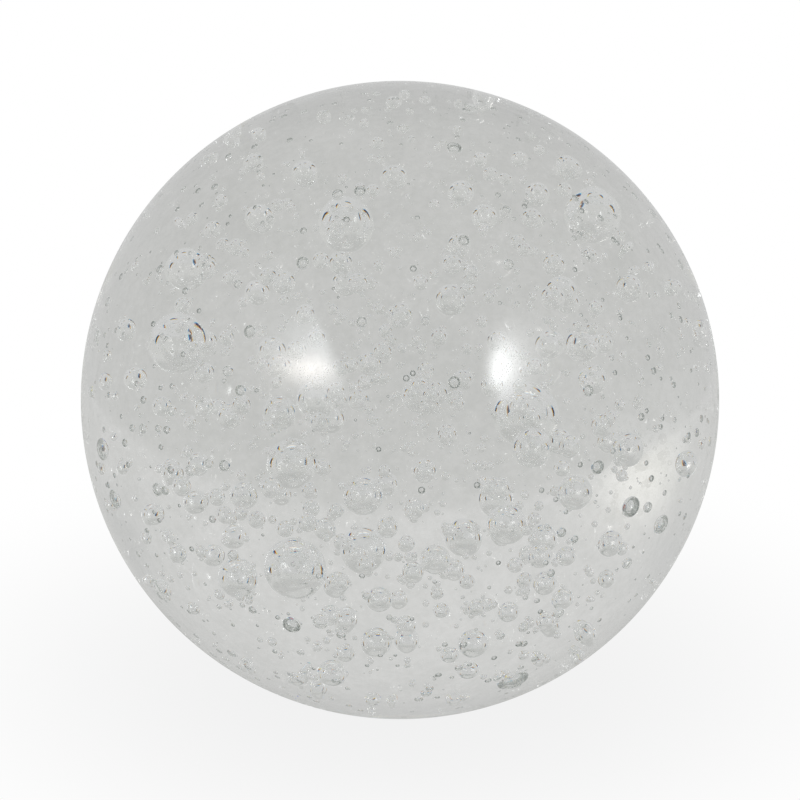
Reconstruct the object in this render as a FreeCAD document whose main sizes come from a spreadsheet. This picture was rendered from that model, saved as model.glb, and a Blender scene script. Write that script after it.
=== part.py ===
import FreeCAD, Part
import math
import os
import random
import Sketcher

# A bubble-ball paperweight: one solid ball of clear glass, ground and polished flat underneath so
# that it doesn't roll, with a cloud of air bubbles sealed inside. Millimetres, +Z up. The origin is
# the centre of the flat base, so the ball stands on the plane Z = 0, and its front faces -Y.

Vector = FreeCAD.Vector

# Driving dimensions: alias, value, what it is.
DIMENSIONS = [
    ("ball_radius", 40.0, "outside radius of the ball"),
    ("centre_height", 37.5, "height of the ball's centre above its flat base"),
    ("bevel_height", 0.15, "height of the ground bevel around the base"),
    ("bevel_width", 0.8, "width of the ground bevel around the base"),
    ("skin", 1.0, "least glass between a bubble and the outside"),
    ("web", 0.15, "least glass between two bubbles"),
    ("large_from", 1.5, "least radius of a large bubble"),
    ("medium_from", 0.8, "least radius of a medium bubble"),
    ("smallest", 0.4, "least radius of any bubble modelled"),
    ("stray_count", 415, "bubbles scattered by chance, besides the listed ones"),
    ("stray_largest", 1.1, "largest radius of a scattered bubble"),
]

# The main bubbles, each by how it is seen through the glass from the front and a little above:
# its place across and up, how deep it lies along that line of sight, from 0 at the near surface to 1
# at the far one, and its seen radius. Places and radii are in ball radii. The ball is a strong lens,
# so a bubble at the back is seen up to three times its size.
SIGHT_TILT = 22.0       # degrees above the horizontal
SIGHT_DISTANCE = 15.0   # from the eye to the ball's centre, in ball radii
GLASS_INDEX = 1.52
MAIN_BUBBLES = [
    # the widest ones, about the middle of the ball
    (-0.70, 0.18, 0.45, 0.094), (0.605, 0.58, 0.55, 0.090), (-0.33, -0.53, 0.45, 0.097),
    (0.395, -0.045, 0.62, 0.103), (-0.17, 0.55, 0.65, 0.088), (-0.34, -0.20, 0.60, 0.080),
    (-0.115, -0.47, 0.60, 0.072), (-0.67, 0.41, 0.55, 0.069),
    # wide ones around them
    (-0.51, -0.56, 0.45, 0.063), (-0.115, -0.30, 0.50, 0.063), (0.335, -0.39, 0.50, 0.063),
    (0.415, -0.15, 0.45, 0.063), (-0.265, 0.00, 0.62, 0.063), (0.20, -0.43, 0.62, 0.060),
    (0.06, 0.015, 0.42, 0.056), (0.30, -0.31, 0.66, 0.056), (0.55, -0.29, 0.45, 0.056),
    (0.575, 0.175, 0.55, 0.056), (0.715, -0.155, 0.40, 0.053), (-0.38, -0.04, 0.50, 0.053),
    (0.16, 0.315, 0.60, 0.050), (0.505, 0.34, 0.60, 0.050), (0.605, 0.065, 0.50, 0.047),
    (-0.075, -0.76, 0.50, 0.047), (0.23, -0.765, 0.45, 0.047), (0.47, 0.175, 0.66, 0.047),
    (-0.44, 0.57, 0.60, 0.047), (0.11, -0.50, 0.42, 0.047), (-0.30, 0.71, 0.60, 0.044),
    (-0.49, -0.30, 0.55, 0.044), (-0.215, -0.86, 0.45, 0.044), (0.72, 0.35, 0.50, 0.044),
    (0.45, -0.435, 0.55, 0.044),
    # middling ones
    (-0.02, 0.70, 0.45, 0.041), (0.19, 0.65, 0.55, 0.041), (0.265, 0.575, 0.50, 0.041),
    (0.43, 0.645, 0.60, 0.041), (0.53, 0.73, 0.45, 0.041), (0.00, 0.265, 0.55, 0.041),
    (-0.535, -0.05, 0.45, 0.041), (-0.065, -0.625, 0.42, 0.041), (0.50, -0.13, 0.60, 0.041),
    (0.66, -0.45, 0.42, 0.041), (-0.185, 0.43, 0.55, 0.038), (-0.365, 0.37, 0.45, 0.038),
    (-0.095, 0.115, 0.45, 0.038), (0.485, 0.425, 0.45, 0.038), (0.635, -0.08, 0.36, 0.038),
    (-0.205, -0.58, 0.62, 0.038), (0.455, -0.575, 0.45, 0.038), (0.44, -0.49, 0.36, 0.038),
    (0.90, -0.20, 0.45, 0.038), (-0.86, 0.22, 0.45, 0.034), (0.04, -0.54, 0.55, 0.034),
    (-0.04, -0.40, 0.38, 0.034), (0.045, -0.34, 0.50, 0.034), (-0.405, -0.275, 0.42, 0.034),
    (0.415, 0.57, 0.40, 0.034), (0.34, -0.665, 0.42, 0.034), (0.51, -0.625, 0.38, 0.034),
    (-0.685, -0.27, 0.45, 0.031), (-0.70, -0.48, 0.38, 0.031), (-0.29, -0.385, 0.40, 0.031),
    (-0.75, -0.59, 0.36, 0.031), (-0.46, 0.745, 0.40, 0.031), (0.52, -0.49, 0.45, 0.031),
    (-0.005, -0.625, 0.60, 0.031), (0.215, -0.85, 0.36, 0.031), (-0.59, 0.535, 0.42, 0.028),
    (-0.515, 0.48, 0.40, 0.028), (-0.575, -0.305, 0.40, 0.028), (-0.55, -0.36, 0.36, 0.028),
    (-0.45, -0.375, 0.38, 0.028), (-0.36, -0.405, 0.42, 0.028), (-0.28, -0.34, 0.48, 0.028),
    (0.155, -0.80, 0.32, 0.028), (0.24, -0.65, 0.36, 0.028),
    # far ones near the lower edge, which the glass drags out of shape
    (0.58, -0.73, 0.60, 0.040), (-0.255, -0.90, 0.60, 0.034), (-0.17, -0.69, 0.72, 0.040),
    (-0.484, -0.83, 0.55, 0.025), (0.17, -0.94, 0.50, 0.025), (-0.086, -0.94, 0.50, 0.025),
    # small ones near the front, seen as dark rings
    (0.725, -0.335, 0.12, 0.030), (-0.34, -0.705, 0.12, 0.027), (0.355, -0.88, 0.15, 0.036),
    (0.82, -0.39, 0.20, 0.025), (-0.935, -0.155, 0.20, 0.025), (0.39, -0.565, 0.30, 0.025),
    (0.21, -0.57, 0.30, 0.025), (0.13, -0.66, 0.25, 0.025), (-0.25, -0.695, 0.25, 0.025),
    (-0.125, 0.655, 0.15, 0.019), (-0.195, 0.645, 0.20, 0.019), (-0.305, 0.43, 0.15, 0.022),
    (-0.21, 0.285, 0.20, 0.019), (-0.12, 0.245, 0.15, 0.019), (-0.47, 0.215, 0.15, 0.022),
    (-0.54, 0.09, 0.20, 0.019), (-0.50, 0.03, 0.15, 0.019), (0.17, 0.79, 0.15, 0.022),
    (0.59, 0.03, 0.15, 0.019), (0.62, -0.21, 0.12, 0.022), (0.225, 0.405, 0.20, 0.019),
    (0.20, 0.50, 0.15, 0.019), (0.34, 0.425, 0.20, 0.019), (-0.55, -0.205, 0.15, 0.019),
    (0.17, 0.055, 0.12, 0.022), (-0.895, -0.31, 0.20, 0.022), (-0.76, -0.28, 0.20, 0.019),
]
# Where a listed bubble would touch another one, it moves this far along its line of sight instead.
DEPTH_SHIFTS = [0.0, 0.04, -0.04, 0.08, -0.08, 0.12, -0.12, 0.18, -0.18, 0.25, -0.25]
SCATTER_SEED = 27
CROWDING = 0.45     # a third would spread the scattered bubbles evenly, more crowds them to the centre
SCATTER_REACH = 0.9  # how far out they reach, in ball radii
OUTER_SHARE = 0.5   # the outer share of that in which they get smaller
FRONT_CAP = 0.5     # beyond this many ball radii to the front, most places stay empty
CAP_THINNING = 0.8  # this share of them
BACK_CAP = 0.45     # beyond this many ball radii to the back, all places stay empty


def make_sheet(doc):
    """The spreadsheet of driving dimensions. Returns the values by alias."""
    sheet = doc.addObject("Spreadsheet::Sheet", "Sizes")
    values = {}
    for row, (alias, value, meaning) in enumerate(DIMENSIONS, start=1):
        sheet.set(f"A{row}", meaning)
        sheet.set(f"B{row}", str(value))
        sheet.setAlias(f"B{row}", alias)
        values[alias] = value
    doc.recompute()
    return values


def make_blank(doc, sizes):
    """The ball before any bubble: a half profile turned about Z. Returns the body."""
    radius = sizes["ball_radius"]
    height = sizes["centre_height"]
    bevel_top = sizes["bevel_height"]
    shoulder = math.sqrt(radius**2 - (height - bevel_top) ** 2)
    flat = shoulder - sizes["bevel_width"]
    top = height + radius
    start_angle = math.atan2(bevel_top - height, shoulder)

    body = doc.addObject("PartDesign::Body", "ball_blank")
    upright = [plane for plane in body.Origin.OriginFeatures if plane.Role == "XZ_Plane"][0]
    sketch = body.newObject("Sketcher::SketchObject", "ball_profile")
    sketch.AttachmentSupport = [(upright, "")]
    sketch.MapMode = "FlatFace"

    # In the sketch, y is the height. The lines run from the base's centre round to the top.
    base_line = sketch.addGeometry(Part.LineSegment(Vector(0, 0, 0), Vector(flat, 0, 0)))
    bevel_line = sketch.addGeometry(
        Part.LineSegment(Vector(flat, 0, 0), Vector(shoulder, bevel_top, 0))
    )
    circle = Part.Circle(Vector(0, height, 0), Vector(0, 0, 1), radius)
    arc = sketch.addGeometry(Part.ArcOfCircle(circle, start_angle, math.pi / 2))
    axis_line = sketch.addGeometry(Part.LineSegment(Vector(0, top, 0), Vector(0, 0, 0)))

    first, second, centre = 1, 2, 3
    origin, vertical = -1, -2
    add = sketch.addConstraint
    add(Sketcher.Constraint("Coincident", base_line, first, origin, 1))
    add(Sketcher.Constraint("Horizontal", base_line))
    add(Sketcher.Constraint("Coincident", base_line, second, bevel_line, first))
    add(Sketcher.Constraint("Coincident", bevel_line, second, arc, first))
    add(Sketcher.Constraint("Coincident", arc, second, axis_line, first))
    add(Sketcher.Constraint("Coincident", axis_line, second, base_line, first))
    add(Sketcher.Constraint("PointOnObject", arc, centre, vertical))
    add(Sketcher.Constraint("Vertical", axis_line))
    driven = [
        ("radius", Sketcher.Constraint("Radius", arc, radius), "Sizes.ball_radius"),
        ("height", Sketcher.Constraint("DistanceY", base_line, first, arc, centre, height),
         "Sizes.centre_height"),
        ("bevel_rise", Sketcher.Constraint("DistanceY", bevel_line, first, bevel_line, second, bevel_top),
         "Sizes.bevel_height"),
        ("bevel_run",
         Sketcher.Constraint("DistanceX", bevel_line, first, bevel_line, second, sizes["bevel_width"]),
         "Sizes.bevel_width"),
    ]
    for name, constraint, expression in driven:
        number = add(constraint)
        sketch.renameConstraint(number, name)
        sketch.setExpression(f"Constraints.{name}", expression)
    doc.recompute()

    turned = body.newObject("PartDesign::Revolution", "ball_turned")
    turned.Profile = sketch
    turned.ReferenceAxis = (sketch, ["V_Axis"])
    turned.Angle = 360.0
    body.Tip = turned
    doc.recompute()
    return body


def entered(direction, normal):
    """A line of sight's direction after it enters the glass, by Snell's law."""
    ratio = 1 / GLASS_INDEX
    cosine = -normal.dot(direction)
    inside = math.sqrt(1 - ratio**2 * (1 - cosine**2))
    return direction * ratio + normal * (ratio * cosine - inside)


def line_of_sight(across, up):
    """Where the line of sight at (across, up) enters a ball of radius 1 at the origin, and the
    vector of its whole run through the glass."""
    tilt = math.radians(SIGHT_TILT)
    eye = Vector(0, -math.cos(tilt), math.sin(tilt)) * SIGHT_DISTANCE
    aim = Vector(across, up * math.sin(tilt), up * math.cos(tilt))
    direction = (aim - eye).normalize()
    middle = -eye.dot(direction)
    near = middle - math.sqrt(middle**2 - eye.dot(eye) + 1)
    entry = eye + direction * near
    inner = entered(direction, entry)
    return entry, inner * (-2 * entry.dot(inner))


def seat(across, up, depth):
    """The point inside a ball of radius 1 that is seen at (across, up), at this depth."""
    entry, run = line_of_sight(across, up)
    return entry + run * depth


def shrink(across, up, depth):
    """Real size over seen size for something small at this place: the square root of how much the
    glass spreads a small square's area."""
    step = 0.01
    here = seat(across, up, depth)
    beside = seat(across + step, up, depth) - here
    above = seat(across, up + step, depth) - here
    run = line_of_sight(across, up)[1].normalize()
    return math.sqrt(abs(beside.cross(above).dot(run))) / step


def fits(centre, radius, others, sizes):
    """Whether a bubble keeps its distance from the ball's surface, its base and the other bubbles.
    Its centre is counted from the ball's centre."""
    if centre.Length + radius > sizes["ball_radius"] - sizes["skin"]:
        return False
    if centre.z + sizes["centre_height"] - radius < sizes["skin"]:
        return False
    for other_centre, other_radius in others:
        if (centre - other_centre).Length < radius + other_radius + sizes["web"]:
            return False
    return True


def main_bubbles(sizes):
    """The listed bubbles, each a centre from the ball's centre and a radius."""
    bubbles = []
    for across, up, depth, seen_radius in MAIN_BUBBLES:
        for shift in DEPTH_SHIFTS:
            there = depth + shift
            centre = seat(across, up, there) * sizes["ball_radius"]
            radius = seen_radius * shrink(across, up, there) * sizes["ball_radius"]
            radius = max(radius, sizes["smallest"])
            if fits(centre, radius, bubbles, sizes):
                bubbles.append((centre, radius))
                break
        else:
            raise RuntimeError(f"no room for the bubble seen at {across}, {up}")
    return bubbles


def stray_bubbles(bubbles, sizes):
    """More bubbles scattered through the glass, small ones most often, clear of those given."""
    chance = random.Random(SCATTER_SEED)
    tilt = math.radians(SIGHT_TILT)
    frontward = Vector(0, -math.cos(tilt), math.sin(tilt))
    span = sizes["stray_largest"] / sizes["smallest"]
    strays = []
    while len(strays) < sizes["stray_count"]:
        direction = Vector(chance.gauss(0, 1), chance.gauss(0, 1), chance.gauss(0, 1)).normalize()
        outward = chance.random() ** CROWDING
        place = direction * outward * SCATTER_REACH
        room = min(1, (1 - outward) / OUTER_SHARE)
        radius = sizes["smallest"] * span ** (room * chance.random())
        centre = place * sizes["ball_radius"]
        forward = place.dot(frontward)
        if forward > FRONT_CAP and chance.random() < CAP_THINNING:
            continue
        if forward < -BACK_CAP:
            continue
        if fits(centre, radius, bubbles + strays, sizes):
            strays.append((centre, radius))
    return strays


def make_bubble(doc, name, centre, radius, sizes):
    """One bubble as a sphere whose size and place follow the ball's radius."""
    ball_radius = sizes["ball_radius"]
    bubble = doc.addObject("Part::Sphere", name)
    bubble.setExpression("Radius", f"Sizes.ball_radius * {radius / ball_radius:.5f}")
    for letter in "xyz":
        share = getattr(centre, letter) / ball_radius
        lift = "Sizes.centre_height + " if letter == "z" else ""
        bubble.setExpression(f"Placement.Base.{letter}", f"{lift}Sizes.ball_radius * {share:.5f}")
    return bubble


def bubble_node(radius, sizes):
    """The name of the group that a bubble of this radius belongs to."""
    if radius >= sizes["large_from"]:
        return "large_bubbles"
    if radius >= sizes["medium_from"]:
        return "medium_bubbles"
    return "small_bubbles"


def make_bubble_groups(doc, sizes):
    """All bubbles, in one compound of separate solids for each class of size."""
    listed = main_bubbles(sizes)
    groups = {"large_bubbles": [], "medium_bubbles": [], "small_bubbles": []}
    for number, (centre, radius) in enumerate(listed + stray_bubbles(listed, sizes)):
        bubble = make_bubble(doc, f"bubble_{number:03d}", centre, radius, sizes)
        groups[bubble_node(radius, sizes)].append(bubble)
    compounds = []
    for node, members in groups.items():
        compound = doc.addObject("Part::Compound", node)
        compound.Links = members
        compounds.append(compound)
    doc.recompute()
    return compounds


def make_glass(doc, blank, groups):
    """The ball with its bubbles' cavities cut out."""
    cavities = doc.addObject("Part::Compound", "cavities")
    cavities.Links = groups
    glass = doc.addObject("Part::Cut", "glass_ball")
    glass.Base = blank
    glass.Tool = cavities
    doc.recompute()
    return glass


def check(doc, nodes):
    """Stops the build if any object failed or any node has no valid shape."""
    for item in doc.Objects:
        if "Invalid" in item.State or "Error" in item.State:
            raise RuntimeError(f"{item.Label} failed: {item.State}")
    for node in nodes:
        if node.Shape.isNull() or not node.Shape.isValid():
            raise RuntimeError(f"{node.Label} has no valid shape")


def main():
    doc = FreeCAD.newDocument("bubble_ball_paperweight")
    sizes = make_sheet(doc)
    blank = make_blank(doc, sizes)
    groups = make_bubble_groups(doc, sizes)
    glass = make_glass(doc, blank, groups)
    nodes = [glass] + groups
    check(doc, nodes)

    os.makedirs("parts", exist_ok=True)
    for node in nodes:
        node.Shape.exportStep(f"parts/{node.Label}.step")
        solids = len(node.Shape.Solids)
        print(f"{node.Label}: {solids} solids, {node.Shape.Volume / 1000:.3f} cm3")


main()
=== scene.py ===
import math
import random
import bmesh
import bpy
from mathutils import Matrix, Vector


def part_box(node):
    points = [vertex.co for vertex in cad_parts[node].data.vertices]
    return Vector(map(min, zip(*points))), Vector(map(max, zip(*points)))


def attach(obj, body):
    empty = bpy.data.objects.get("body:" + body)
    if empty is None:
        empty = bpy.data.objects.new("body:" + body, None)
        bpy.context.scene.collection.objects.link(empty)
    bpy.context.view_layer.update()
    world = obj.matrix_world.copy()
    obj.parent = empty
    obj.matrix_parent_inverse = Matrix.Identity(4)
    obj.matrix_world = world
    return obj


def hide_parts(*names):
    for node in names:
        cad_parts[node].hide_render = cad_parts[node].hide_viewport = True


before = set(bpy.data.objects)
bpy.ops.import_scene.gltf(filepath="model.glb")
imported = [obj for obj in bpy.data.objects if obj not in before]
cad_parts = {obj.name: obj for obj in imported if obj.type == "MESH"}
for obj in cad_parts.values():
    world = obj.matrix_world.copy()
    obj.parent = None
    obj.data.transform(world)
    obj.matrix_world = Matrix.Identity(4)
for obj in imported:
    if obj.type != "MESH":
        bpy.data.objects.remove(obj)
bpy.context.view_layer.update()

# ---- the ball and its bubbles: lengths in metres, angles in degrees ----
ball_low, ball_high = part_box("glass_ball")
BALL_RADIUS = (ball_high.x - ball_low.x) / 2
BALL_CENTRE = Vector((0, 0, ball_high.z - BALL_RADIUS))
BEVEL_WIDTH = 0.0008
BEVEL_HEIGHT = 0.00015
BALL_STEPS = 180          # mesh steps from the bevel to the top
BALL_AROUND = 288         # mesh steps around
SHARP_ANGLE = 5.0         # a steeper edge than this isn't smoothed, which keeps the bevel crisp

BUBBLE_NODES = [("large_bubbles", 5), ("medium_bubbles", 4), ("small_bubbles", 3)]   # with mesh levels
WELD_DISTANCE = 1e-7      # vertices nearer than this are one

SEED_DRAW = 8             # which scattering of the seed bubbles is used
SEED_LEVEL = 2            # their mesh level
SEED_COUNT = 2200
SEED_SMALLEST = 0.00008
SEED_LARGEST = 0.00038
SEED_FINENESS = 1.4       # 1 would make all radii equally common, more favours the smallest
SEED_REACH = 0.92         # how far out they lie, in ball radii
SEED_CROWDING = 0.42      # a third would spread them evenly, more crowds them to the centre
SEED_LOWEST = 0.002       # none has its centre lower than this
FRONT_CAP = 0.55          # beyond this many ball radii to the front, most places stay empty
FRONT_THINNING = 0.8      # the share of places that stay empty there
BACK_CAP = 0.55           # beyond this many ball radii to the back, all places stay empty

# ---- camera ----
VIEW_TILT = 22.0          # the camera looks down by this much
VIEW_DISTANCE = 15.0      # from the ball's centre, in ball radii
VIEW_FILL = 0.798         # share of the picture's half width that the ball's outline takes
CLIP_START = 0.01

# ---- looks of the glass and the air ----
WHITE = (1.0, 1.0, 1.0, 1)
GLASS_INDEX = 1.52
GLASS_CAST = (0.82, 0.86, 0.81, 1)
GLASS_CAST_DENSITY = 1.0
PAINTED_GLOW_STRENGTH = 0.008     # painted glow, though the glass is no lamp: what each meeting with the surface adds to the light inside the glass
# The colour of that painted glow.
PAINTED_GLOW_TINT = (0.90, 1.0, 0.94, 1)

# Marks come from noise: its scale, its detail, and the colour of the marks on white.
HAZE = {"scale": 1100, "detail": 5, "dark": (0.895, 0.899, 0.893, 1)}
FLOW = {"scale": 130, "detail": 4, "dark": (0.945, 0.948, 0.945, 1)}
SKIN = {"scale": 700, "detail": 2, "dark": (0.965, 0.97, 0.965, 1)}
NOISE_ROUGHNESS = 0.6
NOISE_RANGE = (0.3, 0.7)  # the part of the noise's range that is stretched to run from 0 to 1

# Polishing waves come from noise too, as height.
WAVE_SCALE = 110
WAVE_DETAIL = 2
WAVE_DEPTH = 0.000011

# ---- studio light ----
LIGHT_BOUNCES = 32
MIRROR_BOUNCES = 16

BACKDROP = (0.682, 0.680, 0.672)   # the tent as seen straight through the ball
SIDE_TONE = 0.95                   # its share of that away from the back
DEEP_TONE = 0.65                   # the tent as the bubbles and the outside mirror it
FRONT_TONE = 0.66                  # its share of that around the camera
INNER_LAMPS = 0.52                 # the lamps' share that reaches the bubbles
FRINGES = (-0.015, 0.0, 0.015)     # the shares by which red, green and blue are bent differently
STRIP_FRINGE = 1.5                 # how far the strip shifts for each unit of those
OVAL_EDGE = (0.6, 1.4)             # where a seam or the strip fades, in squared half sizes
LAMP_EDGE = (-0.04, 0.06)          # where a lamp's edge fades in, beside its middle line

# A direction's part away from the camera runs from -1 towards the camera to 1 at the back.
# Between these values of it, the light changes.
SIDE_TURN = (-0.1, 0.45)           # from the side tone to the backdrop
FRONT_TURN = (-0.85, -0.35)        # from the front tone to the full one
LAMPS_END = (-0.2, -0.1)           # from lamps to none
SEAMS_BEGIN = (-0.1, 0.0)          # from no seams to seams

# Other directions are given by their parts along the camera's right and up. These are two lamps in
# front of the ball, each with a core and a wider glow. A lamp shines beyond an edge, which slope and
# bow move outwards with height and with distance from the lamp's middle height.
LAMPS = [
    {"across": -0.53, "up": 0.18, "width": 0.14, "height": 0.085,
     "power": 8.0, "colour": (1.0, 0.93, 0.87), "edge": 0.30, "slope": 0.36, "bow": 0.0},
    {"across": -0.46, "up": 0.27, "width": 0.17, "height": 0.19,
     "power": 4.5, "colour": (0.93, 0.97, 1.0), "edge": 0.29, "slope": 0.36, "bow": 0.0},
    {"across": 0.575, "up": 0.19, "width": 0.085, "height": 0.13,
     "power": 12.0, "colour": (0.97, 0.99, 1.0), "edge": 0.50, "slope": 0.0, "bow": 1.4},
    {"across": 0.60, "up": 0.20, "width": 0.16, "height": 0.21,
     "power": 2.4, "colour": (0.97, 0.98, 1.0), "edge": 0.49, "slope": 0.0, "bow": 0.8},
]
# Dark gaps between the tent's sheets.
SEAMS = [
    {"across": -0.87, "up": 0.14, "width": 0.05, "height": 0.27},
    {"across": 0.87, "up": 0.14, "width": 0.05, "height": 0.27},
    {"across": -0.45, "up": 0.82, "width": 0.10, "height": 0.03},
    {"across": 0.20, "up": 0.88, "width": 0.16, "height": 0.025},
]
# A bright strip overhead. Here "up" and "height" are measured away from the camera.
STRIP = {"across": 0.05, "up": -0.16, "width": 0.26, "height": 0.06}
STRIP_LIGHT = 0.3
# Large soft differences in the tent as seen straight through the ball: how much red, green and blue
# they add.
TENT_TONES = [
    {"across": -0.63, "up": 0.20, "width": 0.16, "height": 0.12, "colour": (0.110, 0.103, 0.078)},
    {"across": 0.86, "up": 0.50, "width": 0.14, "height": 0.20, "colour": (-0.13, -0.125, -0.12)},
    {"across": -0.86, "up": 0.54, "width": 0.14, "height": 0.18, "colour": (-0.09, -0.085, -0.08)},
    {"across": 0.0, "up": 0.97, "width": 0.60, "height": 0.10, "colour": (-0.06, -0.06, -0.055)},
]

# ---- floor: distances from the base's centre in ball radii, unless a comment says otherwise ----
# The floor is plain, with only a painted shade of the ball on it, darker near the base; the mirrored
# tones also have a painted dark ring around the base and a lighter ring beyond it. These are its tones at
# some distances, seen straight through the ball and mirrored by the bubbles.
FLOOR_PAINTED_SHADE_SEEN = [(0.0, 0.43), (0.8, 0.46), (1.3, 0.575), (2.0, 0.59), (4.0, 0.63)]
FLOOR_PAINTED_SHADE_MIRRORED = [(0.0, 0.62), (0.3, 0.62), (0.4, 0.54), (0.9, 0.56), (1.2, 0.64), (4.0, 0.62)]
FLOOR_BLUE = 0.982        # the blue in those tones, as a share of the red and green
FLOOR_REACH = 4.0
FLOOR_FADE = 0.8          # where it starts to fade into the tent, as a share of its reach
SHADE_REACH = (0.3, 2.0)  # where the camera sees the painted shade around the ball begin to lift, and end
# The darkest tone of that painted shade, as the camera sees it.
SHADE_TONE = 0.88
FLOOR_SIZE = 3.0          # half its side, in metres
FLOOR_GAP = 0.00005       # from the floor up to the ball's base, in metres

# ---- node details ----
MIX_FIRST, MIX_SECOND, MIX_RESULT = 6, 7, 2   # a Mix node's inputs and output for colours
STRAIGHT_PASSES = 2.0     # light seen straight through has passed the ball's surface twice
COUNT_SLACK = 0.1         # how closely a count of passes or reflections has to match


# ---------------------------------------------------------------- meshes

def new_object(name, data):
    """An object that is linked to the scene."""
    thing = bpy.data.objects.new(name, data)
    bpy.context.scene.collection.objects.link(thing)
    return thing


def new_mesh(name, verts, faces, material):
    """A mesh in one material."""
    mesh = bpy.data.meshes.new(name)
    mesh.from_pydata(verts, [], faces)
    mesh.materials.append(material)
    return mesh


def add_piece(name, verts, faces, material, replaced=None):
    """A mesh piece that rides on the only body, in one material."""
    piece = new_object(name, new_mesh(name, verts, faces, material))
    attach(piece, "root")
    if replaced:
        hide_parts(replaced)
    return piece


def smooth(piece, sharp_angle=None):
    """Smooth shading, apart from edges steeper than an angle."""
    for face in piece.data.polygons:
        face.use_smooth = True
    if sharp_angle:
        piece.data.set_sharp_from_angle(angle=math.radians(sharp_angle))


def ball_profile(steps):
    """The ball's half outline from the base's centre to the top, as (distance from Z, height)."""
    bevel_drop = BALL_CENTRE.z - BEVEL_HEIGHT
    shoulder = math.sqrt(BALL_RADIUS**2 - bevel_drop**2)
    start = math.atan2(-bevel_drop, shoulder)
    points = [(0.0, 0.0), (shoulder - BEVEL_WIDTH, 0.0)]
    for step in range(steps):
        angle = start + (math.pi / 2 - start) * step / steps
        points.append((BALL_RADIUS * math.cos(angle), BALL_CENTRE.z + BALL_RADIUS * math.sin(angle)))
    points.append((0.0, BALL_CENTRE.z + BALL_RADIUS))
    return points


def turned(profile, around):
    """Vertices and faces of a closed profile turned about Z."""
    verts = []
    rings = []
    for distance, height in profile:
        if distance == 0:
            rings.append([len(verts)] * around)
            verts.append((0, 0, height))
            continue
        rings.append(list(range(len(verts), len(verts) + around)))
        for number in range(around):
            angle = 2 * math.pi * number / around
            verts.append((distance * math.cos(angle), distance * math.sin(angle), height))
    faces = []
    for low, high in zip(rings, rings[1:]):
        for number in range(around):
            after = (number + 1) % around
            corners = [low[number], low[after], high[after], high[number]]
            faces.append(list(dict.fromkeys(corners)))
    return verts, faces


def unit_ball(subdivisions):
    """Vertices and faces of a round mesh of radius 1."""
    shape = bmesh.new()
    bmesh.ops.create_icosphere(shape, subdivisions=subdivisions, radius=1)
    verts = [vert.co.copy() for vert in shape.verts]
    faces = [[vert.index for vert in face.verts] for face in shape.faces]
    shape.free()
    return verts, faces


def bubble_mesh(bubbles, subdivisions):
    """Vertices and faces of many round bubbles, given as (centre, radius)."""
    unit_verts, unit_faces = unit_ball(subdivisions)
    verts = []
    faces = []
    for centre, radius in bubbles:
        first = len(verts)
        verts.extend(tuple(centre + radius * vert) for vert in unit_verts)
        faces.extend([first + corner for corner in face] for face in unit_faces)
    return verts, faces


def islands(shape):
    """The places of the vertices of each separate closed surface in a shape."""
    seen = set()
    for start in shape.verts:
        if start in seen:
            continue
        seen.add(start)
        waiting = [start]
        island = []
        while waiting:
            vert = waiting.pop()
            island.append(vert.co.copy())
            for edge in vert.link_edges:
                other = edge.other_vert(vert)
                if other not in seen:
                    seen.add(other)
                    waiting.append(other)
        yield island


def cad_bubbles(node):
    """The centre and radius of each bubble of a CAD node. A bubble's highest and lowest points are
    the two poles of its sphere."""
    shape = bmesh.new()
    shape.from_mesh(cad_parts[node].data)
    bmesh.ops.remove_doubles(shape, verts=shape.verts, dist=WELD_DISTANCE)
    bubbles = []
    for island in islands(shape):
        top = max(island, key=lambda place: place.z)
        bottom = min(island, key=lambda place: place.z)
        bubbles.append(((top + bottom) / 2, (top - bottom).length / 2))
    shape.free()
    return bubbles


def seed_bubbles(taken):
    """Pinprick bubbles scattered through the glass, clear of the larger ones."""
    chance = random.Random(SEED_DRAW)
    toward = view_axes()[0]
    seeds = []
    while len(seeds) < SEED_COUNT:
        direction = Vector([chance.gauss(0, 1) for _ in range(3)]).normalized()
        place = direction * chance.random() ** SEED_CROWDING * SEED_REACH
        radius = SEED_SMALLEST + (SEED_LARGEST - SEED_SMALLEST) * chance.random() ** SEED_FINENESS
        centre = BALL_CENTRE + BALL_RADIUS * place
        forward = place.dot(toward)
        if forward > FRONT_CAP and chance.random() < FRONT_THINNING:
            continue
        if forward < -BACK_CAP or centre.z < SEED_LOWEST:
            continue
        if any((centre - other).length < radius + reach for other, reach in taken):
            continue
        seeds.append((centre, radius))
    return seeds


# ---------------------------------------------------------------- nodes

def feed(tree, socket, value):
    """Links a socket to another node's output, or sets it to a number, colour or direction."""
    if isinstance(value, bpy.types.NodeSocket):
        tree.links.new(value, socket)
    else:
        socket.default_value = value


def math_node(tree, operation, *values):
    """A math node fed with numbers or outputs. Returns its output."""
    node = tree.nodes.new("ShaderNodeMath")
    node.operation = operation
    for socket, value in zip(node.inputs, values):
        feed(tree, socket, value)
    return node.outputs[0]


def vector_node(tree, operation, first):
    """A vector math node with its first input fed."""
    node = tree.nodes.new("ShaderNodeVectorMath")
    node.operation = operation
    feed(tree, node.inputs[0], first)
    return node


def add_all(tree, *values):
    """The sum of some numbers."""
    total = values[0]
    for value in values[1:]:
        total = math_node(tree, "ADD", total, value)
    return total


def add_colours(tree, *values):
    """The sum of some colours."""
    total = values[0]
    for value in values[1:]:
        node = vector_node(tree, "ADD", total)
        feed(tree, node.inputs[1], value)
        total = node.outputs["Vector"]
    return total


def times(tree, colour, number):
    """A colour times a number."""
    node = vector_node(tree, "SCALE", colour)
    feed(tree, node.inputs["Scale"], number)
    return node.outputs["Vector"]


def dot_with(tree, vector, direction):
    """A vector's part along a direction."""
    node = vector_node(tree, "DOT_PRODUCT", vector)
    feed(tree, node.inputs[1], direction)
    return node.outputs["Value"]


def length_of(tree, vector):
    """A vector's length."""
    return vector_node(tree, "LENGTH", vector).outputs["Value"]


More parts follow.
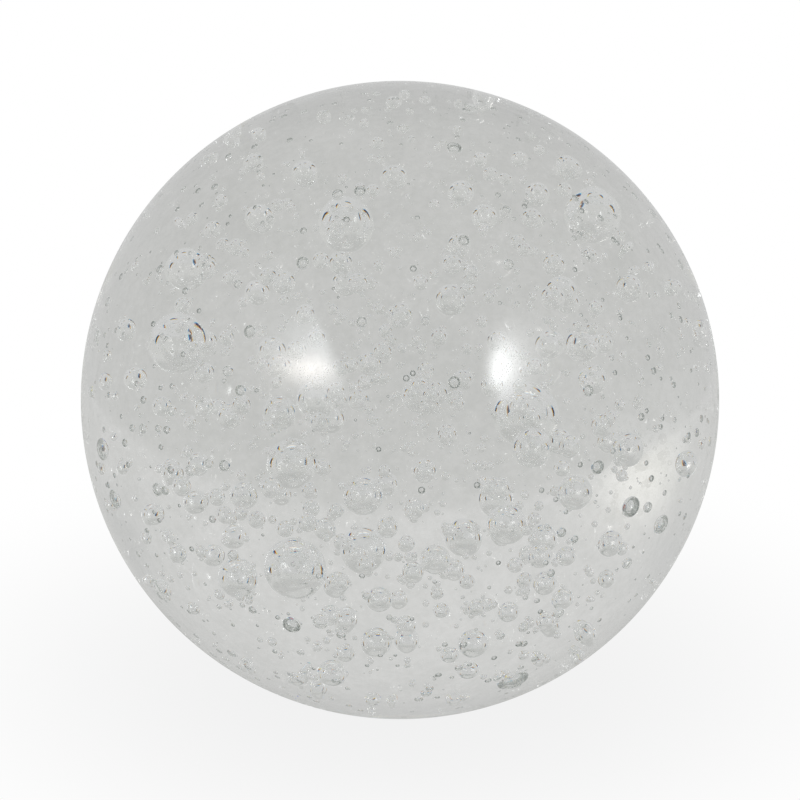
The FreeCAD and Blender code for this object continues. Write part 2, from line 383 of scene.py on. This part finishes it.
def ramp_between(tree, value, limits, at_low, at_high):
    """A smooth step from at_low to at_high, while value goes from one limit to the other."""
    node = tree.nodes.new("ShaderNodeMapRange")
    node.interpolation_type = "SMOOTHSTEP"
    feed(tree, node.inputs["Value"], value)
    names = ("From Min", "From Max", "To Min", "To Max")
    for name, number in zip(names, (*limits, at_low, at_high)):
        node.inputs[name].default_value = number
    return node.outputs["Result"]


def mix_colour(tree, factor, first, second, blend="MIX"):
    """Two colours blended by a factor."""
    node = tree.nodes.new("ShaderNodeMix")
    node.data_type = "RGBA"
    node.blend_type = blend
    feed(tree, node.inputs["Factor"], factor)
    feed(tree, node.inputs[MIX_FIRST], first)
    feed(tree, node.inputs[MIX_SECOND], second)
    return node.outputs[MIX_RESULT]


def mix_shader(tree, factor, first, second):
    """Two shaders mixed by a factor."""
    node = tree.nodes.new("ShaderNodeMixShader")
    for socket, value in zip(node.inputs, (factor, first, second)):
        feed(tree, socket, value)
    return node.outputs[0]


def emission(tree, colour):
    """A surface that gives off light."""
    node = tree.nodes.new("ShaderNodeEmission")
    feed(tree, node.inputs["Color"], colour)
    return node.outputs[0]


def coloured(tree, numbers):
    """One colour from three numbers."""
    node = tree.nodes.new("ShaderNodeCombineColor")
    for socket, number in zip(node.inputs, numbers):
        feed(tree, socket, number)
    return node.outputs[0]


def light_path(tree):
    """What kind of light is asked for: the outputs of a Light Path node."""
    return tree.nodes.new("ShaderNodeLightPath").outputs


def seen_straight(tree):
    """1 for light seen straight through the ball, 0 for what a bubble or a surface turned aside."""
    path = light_path(tree)
    straight = math_node(tree, "COMPARE", path["Transmission Depth"], STRAIGHT_PASSES, COUNT_SLACK)
    unreflected = math_node(tree, "COMPARE", path["Glossy Depth"], 0.0, COUNT_SLACK)
    return math_node(tree, "MULTIPLY", straight, unreflected)


# ---------------------------------------------------------------- materials

def new_material(name):
    """A node material, its tree, and its output node."""
    material = bpy.data.materials.new(name)
    material.use_nodes = True
    material.node_tree.nodes.clear()
    return material, material.node_tree, material.node_tree.nodes.new("ShaderNodeOutputMaterial")


def speckle(tree, scale, detail):
    """Three-dimensional noise in the piece's own space, from 0 to 1."""
    noise = tree.nodes.new("ShaderNodeTexNoise")
    noise.inputs["Scale"].default_value = scale
    noise.inputs["Detail"].default_value = detail
    noise.inputs["Roughness"].default_value = NOISE_ROUGHNESS
    feed(tree, noise.inputs["Vector"], tree.nodes.new("ShaderNodeTexCoord").outputs["Object"])
    return ramp_between(tree, noise.outputs["Fac"], NOISE_RANGE, 0.0, 1.0)


def marked(tree, marks):
    """White with darker marks."""
    return mix_colour(tree, speckle(tree, marks["scale"], marks["detail"]), marks["dark"], WHITE)


def glass_material():
    """Polished glass: a grey-green cast that deepens with thickness, a haze of fine dust and faint flow
    marks on the surface, slight polishing waves, and a painted glow on the surface that stands in for
    light trapped inside."""
    material, tree, output = new_material("clear_glass")
    glass = tree.nodes.new("ShaderNodeBsdfPrincipled")
    glass.inputs["IOR"].default_value = GLASS_INDEX
    glass.inputs["Roughness"].default_value = 0.0
    glass.inputs["Transmission Weight"].default_value = 1.0
    # Painted glow: the surface gives off a faint light of its own, standing in for light trapped in the
    # glass.
    glass.inputs["Emission Color"].default_value = PAINTED_GLOW_TINT
    glass.inputs["Emission Strength"].default_value = PAINTED_GLOW_STRENGTH
    surface = mix_colour(tree, 1.0, marked(tree, HAZE), marked(tree, FLOW), "MULTIPLY")
    feed(tree, glass.inputs["Base Color"], surface)
    waves = tree.nodes.new("ShaderNodeBump")
    waves.inputs["Strength"].default_value = 1.0
    waves.inputs["Distance"].default_value = WAVE_DEPTH
    feed(tree, waves.inputs["Height"], speckle(tree, WAVE_SCALE, WAVE_DETAIL))
    feed(tree, glass.inputs["Normal"], waves.outputs["Normal"])
    absorption = tree.nodes.new("ShaderNodeVolumeAbsorption")
    absorption.inputs["Color"].default_value = GLASS_CAST
    absorption.inputs["Density"].default_value = GLASS_CAST_DENSITY
    feed(tree, output.inputs["Surface"], glass.outputs[0])
    feed(tree, output.inputs["Volume"], absorption.outputs[0])
    return material


def air_material():
    """The skin of a bubble, where light passes from glass into air, with faint flow marks."""
    material, tree, output = new_material("trapped_air")
    skin = tree.nodes.new("ShaderNodeBsdfGlass")
    skin.inputs["IOR"].default_value = 1 / GLASS_INDEX
    skin.inputs["Roughness"].default_value = 0.0
    feed(tree, skin.inputs["Color"], marked(tree, SKIN))
    feed(tree, output.inputs["Surface"], skin.outputs[0])
    return material


def ringed(tree, distance, rings):
    """The floor's tone, with its painted shade, by the distance from the base's centre."""
    steps = tree.nodes.new("ShaderNodeValToRGB")
    ramp = steps.color_ramp
    while len(ramp.elements) < len(rings):
        ramp.elements.new(0.5)
    for element, (reach, tone) in zip(ramp.elements, rings):
        element.position = reach / FLOOR_REACH
        element.color = (tone, tone, tone * FLOOR_BLUE, 1)
    share = math_node(tree, "DIVIDE", distance, FLOOR_REACH * BALL_RADIUS)
    feed(tree, steps.inputs["Fac"], share)
    return steps.outputs["Color"]


def floor_material():
    """The floor gives off its own tone. To the camera it is white with a faint painted shade around the
    ball. To light that has met the ball it is the pale tones above, with their painted shade, and clear
    far out."""
    material, tree, output = new_material("floor")
    distance = length_of(tree, tree.nodes.new("ShaderNodeNewGeometry").outputs["Position"])
    # These tones carry a painted shade of the ball: darker near the base.
    mirrored = ringed(tree, distance, FLOOR_PAINTED_SHADE_MIRRORED)
    tone = mix_colour(tree, seen_straight(tree), mirrored, ringed(tree, distance, FLOOR_PAINTED_SHADE_SEEN))
    reach = FLOOR_REACH * BALL_RADIUS
    far = ramp_between(tree, distance, (FLOOR_FADE * reach, reach), 0.0, 1.0)
    clear = tree.nodes.new("ShaderNodeBsdfTransparent").outputs[0]
    through = mix_shader(tree, far, emission(tree, tone), clear)
    shade = [share * BALL_RADIUS for share in SHADE_REACH]
    # Painted shade: the camera sees the floor darker near the ball.
    painted_shade = emission(tree, ramp_between(tree, distance, shade, SHADE_TONE, 1.0))
    choice = mix_shader(tree, light_path(tree)["Is Camera Ray"], through, painted_shade)
    feed(tree, output.inputs["Surface"], choice)
    return material


# ---------------------------------------------------------------- camera, light and floor

def view_axes():
    """Towards the camera, up in the picture and right in the picture."""
    tilt = math.radians(VIEW_TILT)
    toward = Vector((0, -math.cos(tilt), math.sin(tilt)))
    upward = Vector((0, math.sin(tilt), math.cos(tilt)))
    return toward, upward, Vector((1, 0, 0))


def add_camera():
    """The camera, aimed at the ball's centre and framed so that the ball fills its share."""
    toward = view_axes()[0]
    data = bpy.data.cameras.new("camera")
    camera = new_object("camera", data)
    camera.location = BALL_CENTRE + toward * VIEW_DISTANCE * BALL_RADIUS
    camera.rotation_mode = "QUATERNION"
    camera.rotation_quaternion = (-toward).to_track_quat("-Z", "Y")
    half_width = math.tan(math.asin(1 / VIEW_DISTANCE)) / VIEW_FILL
    data.lens = data.sensor_width / 2 / half_width
    data.clip_start = CLIP_START
    bpy.context.scene.camera = camera


def spot(tree, across, up, oval):
    """How far a direction is from the middle of an oval patch of the tent, in units of its half
    sizes, squared. across and up are the direction's parts that the oval is given by."""
    parts = []
    sides = ((across, oval["across"], oval["width"]), (up, oval["up"], oval["height"]))
    for value, middle, spread in sides:
        away = math_node(tree, "DIVIDE", math_node(tree, "SUBTRACT", value, middle), spread)
        parts.append(math_node(tree, "MULTIPLY", away, away))
    return add_all(tree, *parts)


def patch(tree, across, up, oval, strength):
    """An oval patch of one strength with a soft edge, 0 outside it."""
    return ramp_between(tree, spot(tree, across, up, oval), OVAL_EDGE, strength, 0.0)


def glow(tree, across, up, oval):
    """A soft oval glow on the tent, 1 in its middle."""
    return math_node(tree, "EXPONENT", math_node(tree, "MULTIPLY", spot(tree, across, up, oval), -1.0))


def lamp_light(tree, across, up, lamp):
    """A lamp's glow, cut off by a slanted or bowed edge on the side towards the camera."""
    side = 1.0 if lamp["across"] > 0 else -1.0
    outward = math_node(tree, "MULTIPLY", across, side)
    slanted = math_node(tree, "MULTIPLY", up, -lamp["slope"])
    off_middle = math_node(tree, "SUBTRACT", up, lamp["up"])
    bowed = math_node(tree, "MULTIPLY", math_node(tree, "MULTIPLY", off_middle, off_middle), -lamp["bow"])
    past = add_all(tree, outward, slanted, bowed)
    edge = [lamp["edge"] + shift for shift in LAMP_EDGE]
    kept = ramp_between(tree, past, edge, 0.0, lamp["power"])
    return math_node(tree, "MULTIPLY", glow(tree, across, up, lamp), kept)


def clear_light(tree, behind, across, up):
    """The tent as seen straight through the ball."""
    side = ramp_between(tree, behind, SIDE_TURN, SIDE_TONE, 1.0)
    tones = [times(tree, tone["colour"], glow(tree, across, up, tone)) for tone in TENT_TONES]
    return add_colours(tree, times(tree, BACKDROP, side), *tones)


def deep_light(tree, behind, across, up):
    """The tent as the bubbles and the outside mirror it, with the lamps. Inside the glass it also has
    the seams and the strip, with a thin colour fringe on each."""
    inside = math_node(tree, "GREATER_THAN", light_path(tree)["Transmission Depth"], 0.5)
    overhead = math_node(tree, "MULTIPLY", math_node(tree, "GREATER_THAN", up, 0.0), inside)
    away = ramp_between(tree, behind, SEAMS_BEGIN, 0.0, 1.0)
    dim = ramp_between(tree, behind, FRONT_TURN, FRONT_TONE, 1.0)
    shades = []
    for fringe in FRINGES:
        bent_across = math_node(tree, "MULTIPLY", across, 1.0 - fringe)
        bent_up = math_node(tree, "MULTIPLY", up, 1.0 - fringe)
        marks = [patch(tree, bent_across, bent_up, seam, 1.0) for seam in SEAMS]
        dark = math_node(tree, "MINIMUM", add_all(tree, *marks), 1.0)
        dark = math_node(tree, "MULTIPLY", math_node(tree, "MULTIPLY", dark, away), inside)
        bent_behind = math_node(tree, "ADD", behind, STRIP_FRINGE * fringe)
        strip = patch(tree, across, bent_behind, STRIP, STRIP_LIGHT)
        light = math_node(tree, "MULTIPLY", dim, math_node(tree, "SUBTRACT", 1.0, dark))
        light = math_node(tree, "MULTIPLY", light, DEEP_TONE)
        shades.append(math_node(tree, "ADD", light, math_node(tree, "MULTIPLY", strip, overhead)))

    in_front = ramp_between(tree, behind, LAMPS_END, 1.0, 0.0)
    lamps = []
    for lamp in LAMPS:
        light = math_node(tree, "MULTIPLY", lamp_light(tree, across, up, lamp), in_front)
        lamps.append(times(tree, lamp["colour"], light))
    share = ramp_between(tree, inside, (0.0, 1.0), 1.0, INNER_LAMPS)
    return add_colours(tree, coloured(tree, shades), times(tree, add_colours(tree, *lamps), share))


def add_world():
    """Soft studio light: a bright tent around the ball, dimmer towards the camera, with two soft
    lamps in front. The camera itself sees plain white."""
    toward, upward, right = view_axes()
    world = bpy.data.worlds.new("studio")
    bpy.context.scene.world = world
    world.use_nodes = True
    tree = world.node_tree
    direction = tree.nodes.new("ShaderNodeTexCoord").outputs["Generated"]
    behind = dot_with(tree, direction, -toward)
    across = dot_with(tree, direction, right)
    up = dot_with(tree, direction, upward)
    clear = clear_light(tree, behind, across, up)
    deep = deep_light(tree, behind, across, up)
    seen = mix_colour(tree, seen_straight(tree), deep, clear)
    seen = mix_colour(tree, light_path(tree)["Is Camera Ray"], seen, WHITE)
    feed(tree, tree.nodes["Background"].inputs["Color"], seen)


def add_floor():
    """A plain pale floor, with a painted soft shade of the ball on it."""
    size = FLOOR_SIZE
    gap = FLOOR_GAP
    corners = [(-size, -size, -gap), (size, -size, -gap), (size, size, -gap), (-size, size, -gap)]
    floor = new_object("floor", new_mesh("floor", corners, [(0, 1, 2, 3)], floor_material()))


# ---------------------------------------------------------------- the paperweight

def build():
    """The ball, the bubbles that CAD gives it, and the finer seed bubbles."""
    glass = glass_material()
    air = air_material()
    verts, faces = turned(ball_profile(BALL_STEPS), BALL_AROUND)
    ball = add_piece("glass_ball_clear", verts, faces, glass, "glass_ball")
    smooth(ball, SHARP_ANGLE)
    taken = []
    for node, level in BUBBLE_NODES:
        bubbles = cad_bubbles(node)
        taken.extend(bubbles)
        verts, faces = bubble_mesh(bubbles, level)
        smooth(add_piece("air_" + node, verts, faces, air, node))
    verts, faces = bubble_mesh(seed_bubbles(taken), SEED_LEVEL)
    smooth(add_piece("air_seed_bubbles", verts, faces, air))


scene = bpy.context.scene
scene.view_settings.view_transform = "Standard"
scene.cycles.max_bounces = LIGHT_BOUNCES
scene.cycles.transmission_bounces = LIGHT_BOUNCES
scene.cycles.glossy_bounces = MIRROR_BOUNCES
add_camera()
add_world()
add_floor()
build()
